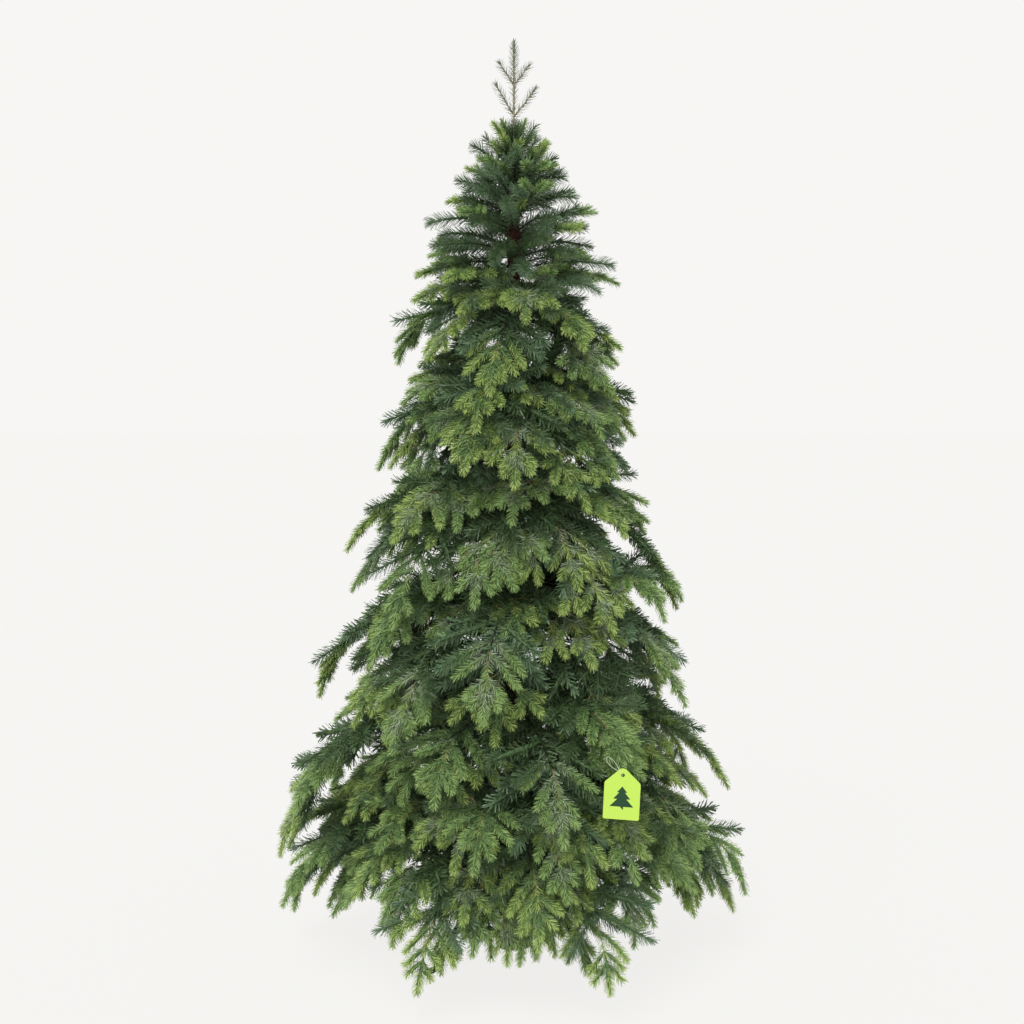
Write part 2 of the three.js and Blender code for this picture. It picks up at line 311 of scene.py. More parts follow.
def tube_piece(name, paths, radii, sides, coat, slot, *nodes):
    points, faces = tube(paths, radii, sides)
    return finish_piece(mesh_object(name, points, faces, coat, True), slot, *nodes)


# ---- materials --------------------------------------------------------------------------------------


def finish_group():
    """A shared effect: a soft unevenness of a finish, from one noise at the piece's own places."""
    group = bpy.data.node_groups.get("uneven finish")
    if group:
        return group
    group = bpy.data.node_groups.new("uneven finish", "ShaderNodeTree")
    for name, value in (("Scale", 40.0), ("Least", 0.4), ("Most", 0.6)):
        socket = group.interface.new_socket(name, in_out="INPUT", socket_type="NodeSocketFloat")
        socket.default_value = value
    group.interface.new_socket("Value", in_out="OUTPUT", socket_type="NodeSocketFloat")
    inputs = group.nodes.new("NodeGroupInput")
    outputs = group.nodes.new("NodeGroupOutput")
    places = group.nodes.new("ShaderNodeTexCoord")
    noise = group.nodes.new("ShaderNodeTexNoise")
    spread = group.nodes.new("ShaderNodeMapRange")
    noise.inputs["Detail"].default_value = 3
    group.links.new(places.outputs["Object"], noise.inputs["Vector"])
    group.links.new(inputs.outputs["Scale"], noise.inputs["Scale"])
    group.links.new(noise.outputs["Fac"], spread.inputs["Value"])
    spread.inputs["From Min"].default_value = 0.3
    spread.inputs["From Max"].default_value = 0.7
    group.links.new(inputs.outputs["Least"], spread.inputs["To Min"])
    group.links.new(inputs.outputs["Most"], spread.inputs["To Max"])
    group.links.new(spread.outputs["Result"], outputs.inputs["Value"])
    return group


def material(name, base, least, most, scale=40.0, metallic=0.0, grain=0.0, grain_scale=400.0):
    """A material with a plain colour, an uneven roughness, and a grain of that many metres' height."""
    made = bpy.data.materials.get(name)
    if made:
        return made
    made = bpy.data.materials.new(name)
    made.use_nodes = True
    tree = made.node_tree
    shader = tree.nodes["Principled BSDF"]
    shader.inputs["Base Color"].default_value = (*base, 1)
    shader.inputs["Metallic"].default_value = metallic
    rough = tree.nodes.new("ShaderNodeGroup")
    rough.node_tree = finish_group()
    for socket, value in (("Scale", scale), ("Least", least), ("Most", most)):
        rough.inputs[socket].default_value = value
    tree.links.new(rough.outputs["Value"], shader.inputs["Roughness"])
    if grain:
        height = tree.nodes.new("ShaderNodeGroup")
        height.node_tree = finish_group()
        for socket, value in (("Scale", grain_scale), ("Least", 0.0), ("Most", 1.0)):
            height.inputs[socket].default_value = value
        bump = tree.nodes.new("ShaderNodeBump")
        bump.inputs["Distance"].default_value = grain
        tree.links.new(height.outputs["Value"], bump.inputs["Height"])
        tree.links.new(bump.outputs["Normal"], shader.inputs["Normal"])
    return made


# ---- the branching rule -----------------------------------------------------------------------------


def corners_of(node):
    """A node's corners in the frame, and their distances from the pole's middle."""
    points = np.array([v.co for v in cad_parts[node].data.vertices])
    return points, np.hypot(points[:, 0], points[:, 1])


def azimuth_of(node):
    low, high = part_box(node)
    middle = (low + high) / 2
    return math.atan2(middle.y, middle.x)


def limb_line(node, buried=0.0, past=0.0):
    """A limb's two ends as the frame has it, or a line that goes on further at each."""
    low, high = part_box(node)
    radii = corners_of(node)[1]
    out = heading(azimuth_of(node))
    foot = out * (radii.min() - buried) + UP * (low.z + LIMB_RADIUS)
    head = out * (radii.max() + past) + UP * (high.z - LIMB_RADIUS)
    return foot, head


def at_height(table, height):
    """A value from a table of heights and values."""
    return np.interp(height, *zip(*table))


def arc(start, end, out_handle, in_handle, steps):
    """A bough's line: leaves start along out_handle, and reaches end along in_handle."""
    t = np.linspace(0, 1, steps)[:, None]
    a, b, c, d = start, start + out_handle, end - in_handle, end
    return a * (1 - t) ** 3 + 3 * b * t * (1 - t) ** 2 + 3 * c * t**2 * (1 - t) + d * t**3


def distances(points):
    return np.concatenate([[0], np.cumsum(np.linalg.norm(np.diff(points, axis=0), axis=1))])


def part_of(points, begin, end, steps):
    """The stretch of a line between two distances along it."""
    along = distances(points)
    at = np.linspace(begin, end, steps)
    return np.stack([np.interp(at, along, points[:, k]) for k in range(3)], 1)


def point_at(points, distance):
    place = part_of(points, distance - 0.002, distance + 0.002, 2)
    return place.mean(0), unit(place[1] - place[0])


def bent(start, direction, size, droop):
    """A short shoot that leaves start in a direction and sags by droop, as a share of its length."""
    t = np.linspace(0, 1, SHOOT_STEPS)[:, None]
    sag = np.array([0, 0, -droop * size])
    return start + direction * size * t + sag * t**2


class Growth:
    """Collects the shoots of the whole tree, each kind apart."""

    def __init__(self):
        self.random = np.random.default_rng(SEED)
        self.moulded = []
        self.flat = []
        self.wires = []
        self.crown_wires = []
        self.stems = []
        self.fingers = []
        self.cores = []
        self.inner_cores = []
        self.profile = self.tip_profile()

    def tip_profile(self):
        """The tips' heights and reaches from the frame's masses, lowest first."""
        masses = [f"mass_{band}_1" for band in TIERS] + ["mass_crown_top", "mass_leader"]
        return [(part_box(m)[0].z, corners_of(m)[1].max()) for m in masses]

    def either_way(self, most):
        return most * (2 * self.random.random() - 1)

    def vary(self, share):
        return 1 + self.either_way(share)

    def pair(self, kind, line, joint, normal, scale, angle, band, hue, droop, coarse=0.0, least=0.1):
        """Two opposite side shoots at a joint, and whatever these carry in their turn."""
        total = distances(line)[-1]
        along = total - joint.back * scale * self.vary(0.07)
        if along < least * total:
            return
        start, forward = point_at(line, along)
        across = unit(np.cross(normal, forward))
        for side in (-1, 1):
            if self.random.random() < BARE_SHARE:
                continue
            lean = angle * self.vary(0.2)
            lift = self.either_way(0.12)
            direction = unit(math.cos(lean) * forward + math.sin(lean) * side * across + lift * normal)
            points = bent(start, direction, joint.size * scale * self.vary(0.14), droop * self.vary(0.4))
            self.clothe(kind, points, normal, band, hue, coarse, bool(joint.joints))
            for small in joint.joints:
                self.pair(kind, points, small, normal, scale, angle, band, hue, droop, coarse)

    def clothe(self, kind, points, normal, band, hue, coarse, forked):
        """Needles on one shoot: thick at its end, thinner behind the last joint."""
        total = distances(points)[-1]
        split = total - TIP_LENGTH
        tip = points
        if kind is self.moulded and forked and split > 0:
            self.stems.append(points)
            behind = part_of(points, 0.1 * total, split, SHOOT_STEPS)
            kind.append(Shoot(behind, normal, band, hue, LUSH_BEHIND, coarse))
            tip = part_of(points, split, total, SHOOT_STEPS)
        kind.append(Shoot(tip, normal, band, hue, 1.0 - COARSE_THINNING * coarse, coarse))
        if kind is self.moulded:
            self.fingers.append(tip)
        else:
            cores = self.inner_cores if coarse > 0.5 else self.cores
            cores.append(part_of(points, 0, total, SHOOT_STEPS))

    def bough(self, start, azimuth, reach, tip_height, scale, band, kind, joints):
        """One bough: out from its limb, over, and on to its tip, dressed to its end."""
        out = heading(azimuth)
        side = np.cross(UP, out)
        end = out * reach + UP * tip_height
        chord = end - start
        span = np.linalg.norm(chord)
        fall = math.radians(at_height(FALLS, tip_height)) * self.vary(0.2)
        fall = fall * (SLIM_FALL if joints is SLIM_SPRAY else 1.0)
        rise = math.asin(chord[2] / span) + BOUGH_RISE * self.vary(0.4)
        leaving = unit(chord * np.array([1, 1, 0])) * math.cos(rise) + UP * math.sin(rise)
        arriving = out * math.cos(fall) - UP * math.sin(fall)
        line = arc(start, end, leaving * 0.38 * span, arriving * 0.36 * span, PATH_STEPS)
        line = line + side * (self.either_way(BOUGH_SWAY) * HUMP)[:, None]
        total = distances(line)[-1]
        _, forward = point_at(line, 0.75 * total)
        roll = self.either_way(BOUGH_ROLL)
        across = unit(side * math.cos(roll) + np.cross(forward, side) * math.sin(roll))
        normal = unit(np.cross(forward, across))
        normal = normal * (1 if normal[2] > 0 else -1)
        hue = self.random.random()
        base = max(total - SPRAY_BASE * scale, 0.15 * total)
        spray = part_of(line, base, total, SHOOT_STEPS + 2)
        self.clothe(kind, spray, normal, band, hue, 0.0, True)
        for joint in joints:
            self.pair(kind, line, joint, normal, scale, SIDE_ANGLE, band, hue, 0.2, least=0.2)
        dull = self.random.random()
        self.wires.append(part_of(line, 0, base + 0.004, PATH_STEPS))
        inner = part_of(line, 0.04 * total, base + 0.01, 9)
        self.flat.append(Shoot(inner, normal, band, dull, 0.5, 0.8))
        for number, joint in enumerate(FLAT_TWIGS):
            coarse = min(1.0, 0.2 + 0.4 * number)
            self.pair(self.flat, line, joint, normal, scale, TWIG_ANGLE, band, dull, 0.02, coarse)

    def tier(self, band):
        """All the boughs of one tier, forking from the limbs of the frame."""
        limbs = [n for n in NODES if n.startswith(f"bough_{band}_")]
        wedge = 2 * math.pi / len(limbs)
        for limb in limbs:
            azimuth = azimuth_of(limb)
            foot, head = limb_line(limb)
            self.limb_twigs(foot, head, band)
            for number, row in enumerate(ROWS[band]):
                for index in range(row.count):
                    place = (index + 0.5 + ROW_OFFSET * (number % 2)) / row.count - 0.5
                    place = place + self.either_way(row.loose * PLACE_JITTER) / row.count
                    start = foot + (head - foot) * (1 - LIMB_START * min(abs(place), 0.5))
                    self.row_bough(row, start, azimuth + wedge * place, band)
            if band == TIERS[0]:
                self.low_boughs(azimuth, head, band)

    def row_bough(self, row, start, azimuth, band):
        """One bough of a row: slim or short, and moulded or flat-cut to its tip."""
        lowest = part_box(f"mass_{band}_1")[0].z
        height = lowest + row.lift + self.either_way(row.loose * HEIGHT_JITTER)
        slim = self.random.random() < SLIM_SHARE
        share = SLIM_REACH if slim else row.reach * SHORT_REACH
        reach = at_height(self.profile, height) * share * self.vary(0.06)
        kind = self.flat if self.random.random() < FLAT_SHARE[band] else self.moulded
        if kind is self.flat:
            reach = reach * FLAT_REACH
        scale = 1.04 - 0.04 * band
        self.bough(start, azimuth, reach, height, scale, band, kind, SLIM_SPRAY if slim else SPRAY)

    def low_boughs(self, azimuth, head, band):
        """The boughs that a lowest limb hangs over the stand."""
        way = -1 if math.cos(azimuth) > 0 else 1
        for low in LOW_BOUGHS:
            turned = azimuth + way * math.radians(low.turn)
            self.bough(head, turned, low.reach, low.tip, LOW_SCALE, band, self.moulded, SLIM_SPRAY)

    def limb_twigs(self, foot, head, band):
        """The short flat-cut twigs that hide a limb and the pole behind it."""
        hue = self.random.random()
        line = np.linspace(foot, head, 9)
        self.flat.append(Shoot(line, UP, band, hue, 0.45, 1.0))
        for joint in LIMB_TWIGS[: 3 if band < 5 else 2]:
            for tilt in (-0.7, 0.6):
                normal = unit(UP + tilt * self.vary(0.3) * np.cross(UP, unit(head - foot)))
                droop = 0.75 if tilt < 0 else -0.2
                self.pair(self.flat, line, joint, normal, 1.0, 0.95, band, hue, droop, 1.0)

    def crown(self):
        """The crown's top: short boughs wound round the pole, flat below and swept up above."""
        low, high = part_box("mass_crown_top")
        for index in range(CROWN_BOUGHS):
            share = (index + 0.5 * self.random.random()) / CROWN_BOUGHS
            height = low.z - 0.050 + (high.z - low.z + 0.055) * share
            far = at_height(CROWN_REACH, height) * (1 - 0.24 * self.random.random())
            rise = math.radians(at_height(CROWN_RISE, height) + 16 * (self.random.random() - 0.5))
            azimuth = index * GOLDEN_TURN + 0.6 * self.random.random()
            foot = height - far * math.tan(rise) * 0.9
            kind = self.moulded if self.random.random() < CROWN_MOULDED_SHARE else self.flat
            self.crown_bough(azimuth, far, foot, height, kind)
        for index in range(CROWN_TUFTS):
            out = heading(index * GOLDEN_TURN, 1.30 - 0.35 * (index % 3) * self.random.random())
            start = UP * (high.z - 0.075 + 0.006 * index) + 0.006 * out
            kind = self.moulded if index % 3 == 2 else self.flat
            self.twig(kind, start, out, 0.062 * self.vary(0.15), 0.0, 0.5)

    def twig(self, kind, start, out, size, droop, hue, normal=None, band=TOP_BAND, coarse=0.0):
        """A single shoot that forks no further."""
        if normal is None:
            normal = unit(np.cross(out, np.cross(UP, out)))
        self.clothe(kind, bent(start, out, size, droop), normal, band, hue, coarse, False)

    def pole_cover(self):
        """Short twigs all round the pole through the crown."""
        for index in range(POLE_TWIGS):
            height = np.interp(index + self.random.random(), (0, POLE_TWIGS), (POLE_TWIGS_FROM, POLE_END))
            rise = math.radians(at_height(CROWN_RISE, height) + 30 * (self.random.random() - 0.3))
            out = heading(index * GOLDEN_TURN, rise)
            start = UP * (height - 0.02) + 0.008 * out
            kind = self.moulded if index % 5 > 2 else self.flat
            self.twig(kind, start, out, 0.085 * self.vary(0.2), 0.05, self.random.random())

    def collar(self):
        """A close collar of upright shoots at the leader's foot, with a moulded tip out at each side."""
        for index in range(COLLAR_SHOOTS):
            aside = heading(index * GOLDEN_TURN)
            start = aside * 0.004 + UP * (POLE_END - 0.022)
            out = heading(index * GOLDEN_TURN, 1.47)
            self.twig(self.flat, start, out, 0.044 * self.vary(0.2), 0.0, 0.5, aside)
        for azimuth in COLLAR_SIDES:
            out = heading(azimuth, 1.13)
            start = UP * (POLE_END - 0.010) + 0.004 * out
            self.twig(self.moulded, start, out, 0.048, 0.0, 0.8, UP)

    def inner_twigs(self):
        """Dark twigs that close the middle tiers round the pole."""
        for index in range(INNER_TWIGS):
            height = np.interp(index + self.random.random(), (0, INNER_TWIGS), INNER_HEIGHTS)
            size = 0.62 * at_height(self.profile, height - 0.12) * self.vary(0.15)
            out = heading(index * GOLDEN_TURN, 0.2 * self.random.random())
            start = UP * height + 0.012 * out
            self.twig(self.flat, start, out, size, 0.35, self.random.random(), UP, TIERS[2], 1.0)

    def crown_bough(self, azimuth, reach, foot, height, kind):
        """One bough of the crown, straight but for a slight hump, with a pair or two of side shoots."""
        out = heading(azimuth)
        start = out * 0.010 + UP * foot
        end = out * reach + UP * height
        span = np.linalg.norm(end - start)
        handle = unit(end - start) * span * 0.3
        line = arc(start, end, handle, handle, PATH_STEPS) + UP * (0.012 * HUMP)[:, None]
        normal = unit(np.cross(end - start, np.cross(UP, out)))
        hue = self.random.random()
        dull = self.random.random()
        self.crown_wires.append(part_of(line, 0, span * 0.8, PATH_STEPS))
        self.flat.append(Shoot(part_of(line, 0.03 * span, 0.6 * span, 9), normal, TOP_BAND, dull, 1.0, 0.2))
        self.clothe(kind, part_of(line, 0.5 * span, span, SHOOT_STEPS), normal, TOP_BAND, hue, 0.0, False)
        if kind is self.flat:
            self.flat.append(Shoot(part_of(line, 0.5 * span, span, 5), -normal, TOP_BAND, dull, 0.8, 0.0))
        else:
            self.pair(kind, line, Joint(0.055, 0.046), normal, 1.0, 0.7, TOP_BAND, hue, 0.0, least=0.25)
            low_twig = Joint(0.62 * span, 0.40 * span)
            self.pair(self.flat, line, low_twig, normal, 1.0, 0.6, TOP_BAND, dull, 0.0, 0.2)


@functools.lru_cache(maxsize=1)
def grown():
    growth = Growth()
    for band in TIERS:
        growth.tier(band)
    growth.crown()
    growth.pole_cover()
    growth.collar()
    growth.inner_twigs()
    return growth


# ---- needles ----------------------------------------------------------------------------------------

# How needles stand on a shoot: how far they lean out, in radians, how flat the whole brush lies, a needle's
# width at its end against its foot, and its length where the shoot starts.
Brush = namedtuple("Brush", "lean flatten end start_size")
MOULDED_BRUSH = Brush(0.80, 0.64, 0.50, 0.85)
FLAT_BRUSH = Brush(0.90, 0.90, 0.60, 0.90)
LEADER_BRUSH = Brush(0.80, 1.0, 0.4, 0.9)
COARSE_WIDENING = 2.6  # how much wider the needles of the coarsest shoots are
FRESH_FROM = 0.42  # the share along a moulded shoot where its needles turn fresh
FRESH_BLEND = 0.30  # the share of a shoot over which the two mix


def needle_seats(shoots, per_metre, rng):
    """Where needles sit: the shoot each belongs to, its share along it, its place and directions."""
    lengths = np.array([distances(s.points)[-1] * s.lush for s in shoots])
    counts = np.maximum(6, (lengths * per_metre).astype(int))
    owner = np.repeat(np.arange(len(shoots)), counts)
    order = np.arange(counts.sum()) - np.repeat(np.cumsum(counts) - counts, counts)
    along = ((order + rng.random(len(order))) / counts[owner]) ** 0.75
    seat = np.empty((len(owner), 3))
    forward = np.empty((len(owner), 3))
    for index, shoot in enumerate(shoots):
        mine = slice(counts[:index].sum(), counts[: index + 1].sum())
        steps = len(shoot.points) - 1
        place = along[mine] * steps
        step = np.minimum(place.astype(int), steps - 1)
        part = (place - step)[:, None]
        near = shoot.points[step]
        far = shoot.points[step + 1]
        seat[mine] = near * (1 - part) + far * part
        forward[mine] = unit(far - near)
    normals = np.array([s.normal for s in shoots])[owner]
    return owner, order, along, seat, forward, normals


def smooth_step(low, high, values):
    share = np.clip((values - low) / (high - low), 0, 1)
    return share * share * (3 - 2 * share)


def brush(shoots, per_metre, size, width, stem, kind, rng):
    """Needles round shoots, each a slim twisted strip of two faces, with each needle's place and tint."""
    owner, order, along, seat, forward, normal = needle_seats(shoots, per_metre, rng)
    coarse = np.array([s.coarse for s in shoots])[owner]
    across = unit(np.cross(normal, forward))
    above = np.cross(forward, across)
    turn = order * GOLDEN_TURN + 0.5 * rng.random(len(order))
    radial = unit(np.cos(turn)[:, None] * across + (np.sin(turn) * kind.flatten)[:, None] * above)
    ending = smooth_step(0.76, 1.0, along)
    lean = kind.lean * (0.94 + 0.12 * rng.random(len(along)))
    lean = lean * (1 - ending * rng.random(len(along)) ** 0.8)
    pointing = unit(np.cos(lean)[:, None] * forward + np.sin(lean)[:, None] * radial)
    grows = kind.start_size + (1 - kind.start_size) * smooth_step(0.0, 0.25, along)
    long = size * grows * (1 - 0.15 * ending) * (0.92 + 0.14 * rng.random(len(along)))
    long = long * (1 + 0.25 * coarse) * (1 - 0.35 * ending * (1 - lean / kind.lean))
    roll = 1.1 * (2 * rng.random(len(along)) - 1)
    twist = 0.8 * (2 * rng.random(len(along)) - 1)
    flank = unit(np.cross(pointing, radial))
    back = np.cross(flank, pointing)
    root = seat + radial * stem
    tip = root + pointing * long[:, None]
    wide = (width / 2) * (1 + COARSE_WIDENING * coarse)[:, None]
    near = (np.cos(roll)[:, None] * flank + np.sin(roll)[:, None] * back) * wide
    far = (np.cos(roll + twist)[:, None] * flank + np.sin(roll + twist)[:, None] * back) * wide * kind.end
    points = np.stack([root - near, root + near, tip - far, tip + far], 1)
    hues = np.array([s.hue for s in shoots])[owner]
    bands = np.array([s.band for s in shoots])[owner]
    return points, along, hues, bands


def needle_piece(name, points, coat, slot, nodes):
    """One mesh of needles, two faces to each."""
    first = np.arange(len(points))[:, None] * 4
    faces = np.concatenate([first + [0, 1, 3], first + [0, 3, 2]])
    piece = mesh_object(name, points.reshape(-1, 3), [faces], coat)
    corners = faces.ravel()
    lay_out(piece, corners // 4, np.stack([corners & 1, (corners >> 1) & 1], 1))
    return finish_piece(piece, slot, *nodes)


def masses_of(bands):
    """The frame's masses that the boughs of some bands fill."""
    masses = [n for band in bands for n in NODES if n.startswith(f"mass_{band}_")]
    return masses + ["mass_crown_top"] * (TOP_BAND in bands)


def needle_pieces(name, points, bands, tints, colours, least, most):
    """One piece of needles for each tint and each of the tree's halves, low and high."""
    for tint, chosen in tints.items():
        coat = material(f"{name} {tint}", getattr(colours, tint), least, most, 60)
        for half, members in HALVES.items():
            these = points[chosen & np.isin(bands, members)]
            needle_piece(f"{name}_{tint}_{half}", these, coat, "foliage", masses_of(members))


class SPRUCE_OT_moulded_needles(bpy.types.Operator):
    """Add the moulded needles: fresh ends and older inner needles, tinted by spray"""

    bl_idname = "spruce.moulded_needles"
    bl_label = "Moulded needles"

    def execute(self, context):
        sizes, colours = settings()
        rng = np.random.default_rng(SEED + 1)
        points, along, hues, bands = brush(
            grown().moulded,
            sizes.moulded_per_metre,
            sizes.moulded_needle,
            sizes.moulded_width,
            sizes.shoot_stem,
            MOULDED_BRUSH,
            rng,
        )
        fresh = along + FRESH_BLEND * (rng.random(len(along)) - 0.5) > FRESH_FROM
        tints = {
            "fresh_yellow": fresh & (hues < 0.5),
            "fresh_green": fresh & (hues >= 0.5),
            "aged_green": ~fresh & (hues % 0.5 < 0.25),
            "grey_green": ~fresh & (hues % 0.5 >= 0.25),
        }
        needle_pieces("moulded", points, bands, tints, colours, 0.42, 0.62)
        return {"FINISHED"}


class SPRUCE_OT_flat_needles(bpy.types.Operator):
    """Add the dark flat-cut needles along the wires"""

    bl_idname = "spruce.flat_needles"
    bl_label = "Flat-cut needles"

    def execute(self, context):
        sizes, colours = settings()
        points, _, hues, bands = brush(
            grown().flat,
            sizes.flat_per_metre,
            sizes.flat_needle,
            sizes.flat_width,
            sizes.wire * 0.5,
            FLAT_BRUSH,
            np.random.default_rng(SEED + 2),
        )
        tints = {"deep_green": hues < 0.6, "blue_green": hues >= 0.6}
        needle_pieces("flat", points, bands, tints, colours, 0.34, 0.5)
        return {"FINISHED"}


# ---- stems and wires --------------------------------------------------------------------------------


class SPRUCE_OT_stems(bpy.types.Operator):
    """Add the moulded stems of the sprays and the taped wire of the boughs"""

    bl_idname = "spruce.stems"
    bl_label = "Stems and wires"

    def execute(self, context):
        sizes, colours = settings()
        brown = material("moulded stem", colours.shoot_brown, 0.45, 0.65, 50)
        tape = material("taped wire", colours.wire_brown, 0.7, 0.9, 120, grain=0.0004)
        growth = grown()
        for steps in sorted({len(line) for line in growth.stems}):
            paths = [line for line in growth.stems if len(line) == steps]
            taper = np.linspace(1.0, 0.6, steps) * sizes.shoot_stem
            name = "spray_stems" if steps > SHOOT_STEPS else "side_stems"
            self.tubes(name, paths, taper, 4, brown, "foliage")
        # Each moulded tip holds a tube of a darker green. It is painted shade for the shade deep between
        # the needles, and it also fills the tip's middle so that no light shows through.
        heart = material("moulded heart painted shade", colours.heart_painted_shade, 0.5, 0.7, 80)
        taper = np.array([1.2, 2.6, 3.4, 3.2, 1.4]) * sizes.shoot_stem
        self.tubes("finger_hearts_painted_shade", growth.fingers, taper, 3, heart, "foliage")
        taper = np.linspace(1.0, 0.6, PATH_STEPS) * sizes.wire
        self.tubes("bough_wires", growth.wires, taper, 4, tape, "wrapped_wire")
        self.tubes("crown_wires", growth.crown_wires, taper * 0.5, 4, tape, "wrapped_wire")
        dark = material("flat heart", colours.deep_green, 0.5, 0.7, 80)
        taper = np.array([1.0, 1.7, 1.8, 1.5, 0.6]) * sizes.wire
        self.tubes("inner_twig_hearts", growth.inner_cores, taper, 4, dark, "foliage")
        self.tubes("twig_hearts", growth.cores, taper * 0.36, 4, dark, "foliage")
        self.limbs(tape)
        return {"FINISHED"}

    def tubes(self, name, paths, taper, sides, coat, slot):
        paths = np.array(paths)
        points, faces = tube(paths, np.tile(taper, (len(paths), 1)), sides)
        piece = mesh_object(name, points, faces, coat, True)
        face_by_face(piece, faces)
        finish_piece(piece, slot)

    def limbs(self, tape):
        """The frame's limbs with their tape wound on: a ridge at every turn of the tape."""
        nodes = [n for n in NODES if n.startswith("bough_")]
        share = np.linspace(0, 1, 28)
        ridge = 0.0006 * ((share * 9) % 1.0)
        radii = 0.0062 - 0.0014 * share + ridge
        paths = []
        for node in nodes:
            foot, head = limb_line(node, buried=0.002, past=0.004)
            paths.append(foot + (head - foot) * share[:, None])
        radii = np.tile(radii, (len(paths), 1))
        tube_piece("limbs", np.array(paths), radii, 8, tape, "wrapped_wire", *nodes)


# ---- pole and leader --------------------------------------------------------------------------------

TAPE_PITCH = 0.016  # between two turns of the pole's tape
FRINGE_WIDTH = 0.0014
# The leader's side shoots: the height where each leaves, how far across and how far up it goes.
LEADER_SIDES = (
    (1.713, -0.027, 0.036),
    (1.709, 0.031, 0.037),
    (1.655, -0.035, 0.054),
    (1.650, 0.043, 0.050),
)


def pole_radius(height):
    """The pole's radius as the frame has it, at a height."""
    points, across = corners_of("trunk")
    levels = np.unique(np.round(points[:, 2], 4))
    widest = np.array([across[np.abs(points[:, 2] - z) < 1e-3].max() for z in levels])
    return np.interp(height, levels, widest)


class SPRUCE_OT_pole(bpy.types.Operator):
    """Add the pole, wound with brown tape and fringe, up to the leader"""

    bl_idname = "spruce.pole"
    bl_label = "Wrapped pole"

    def execute(self, context):
        sizes, colours = settings()
        rng = np.random.default_rng(SEED + 3)
        brown = material("pole tape", colours.pole_brown, 0.65, 0.9, 80, grain=0.0006)
        sides = 20
        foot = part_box("trunk")[0].z
        heights = np.append(np.arange(foot, POLE_END - 0.003, 0.004), POLE_END)
        turn = round_turn(sides)
        wound = (heights[:, None] / TAPE_PITCH - turn / (2 * math.pi)) % 1.0
        radius = pole_radius(heights)[:, None] * (1 + 0.05 * wound)
        radius = radius + 0.0002 * rng.random((len(heights), sides))
        upright = np.repeat(heights[:, None], sides, 1)
        points = np.stack([radius * np.cos(turn), radius * np.sin(turn), upright], -1).reshape(-1, 3)
        pole = mesh_object("wrapped_pole", points, ring_faces(1, len(heights), sides), brown, True)
        finish_piece(pole, "wrapped_pole", "trunk")
        self.fringe(sizes, brown, rng)
        return {"FINISHED"}

    def fringe(self, sizes, brown, rng):
        """Thin brown strands that stand out all over the wound tape."""
        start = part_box("stand_hub")[1].z + 0.02
        stop = POLE_END - 0.01
        count = int((stop - start) * sizes.fringe_per_metre)
        height = np.linspace(start, stop, count)
        turn = rng.random(count) * 2 * math.pi
        radial = np.stack([np.cos(turn), np.sin(turn), np.zeros(count)], 1)
        seat = radial * (pole_radius(height) * 0.98)[:, None]
        seat[:, 2] = height
        spread = rng.normal(0, 0.55, (count, 3))
        pointing = unit(radial + spread)
        pointing = unit(pointing + radial * 0.35)
        aside = unit(np.cross(pointing, rng.normal(0, 1, (count, 3))))
        long = sizes.fringe * (0.6 + 0.6 * rng.random(count))[:, None]
        middle = seat + pointing * long * 0.5
        half = aside * FRINGE_WIDTH / 2
        points = np.stack([seat, middle + half, middle - half, seat + pointing * long], 1)
        needle_piece("pole_fringe", points, brown, "wrapped_pole", [])


class SPRUCE_OT_leader(bpy.types.Operator):
    """Add the leader: a thin pale stem with two pairs of side shoots and sparse needles"""

    bl_idname = "spruce.leader"
    bl_label = "Leader"

    def execute(self, context):
        sizes, colours = settings()
        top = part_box("trunk")[1].z
        front = np.array([0.0, -1.0, 0.0])
        stem = np.linspace([0, 0, POLE_END - 0.02], [0.001, 0, top - 0.009], 15)
        bare = part_of(stem, 0.01, 0.115, SHOOT_STEPS)
        end = part_of(stem, 0.105, distances(stem)[-1], SHOOT_STEPS)
        shoots = [
            Shoot(bare, front, TOP_BAND, 0.9, 0.5, 0.0),
            Shoot(end, front, TOP_BAND, 0.9, 1.0, 0.0),
        ]
        sides = []
        for height, across, rise in LEADER_SIDES:
            start = np.array([0.0, 0.0, height])
            direction = unit(np.array([across, -0.2 * abs(across), rise]))
            points = bent(start, direction, math.hypot(across, rise), -0.06)
            sides.append(points)
            shoots.append(Shoot(points, front, TOP_BAND, 0.9, 0.85, 0.0))
        points = brush(
            shoots,
            sizes.moulded_per_metre * 0.8,
            sizes.moulded_needle,
            sizes.moulded_width * 0.75,
            sizes.shoot_stem * 0.7,
            LEADER_BRUSH,
            np.random.default_rng(SEED + 4),
        )[0]
        coat = material("leader needle", colours.leader_green, 0.42, 0.62, 60)
        needle_piece("leader_needles", points, coat, "foliage", ["mass_leader"])
        pale = material("leader stem", colours.leader_stem, 0.5, 0.7, 90)
        taper = np.tile(np.linspace(0.0013, 0.0008, SHOOT_STEPS), (len(sides), 1))
        tube_piece("leader_side_stems", np.array(sides), taper, 6, pale, "foliage")
        taper = np.linspace(0.0026, 0.0010, len(stem))[None]
        tube_piece("leader_stem", stem[None], taper, 10, pale, "wrapped_pole", "trunk")
        return {"FINISHED"}


# ---- stand ------------------------------------------------------------------------------------------

BAR_RADIUS = 0.0075
FOOT_RADIUS = 0.0055
CAP_RADIUS = 0.0062


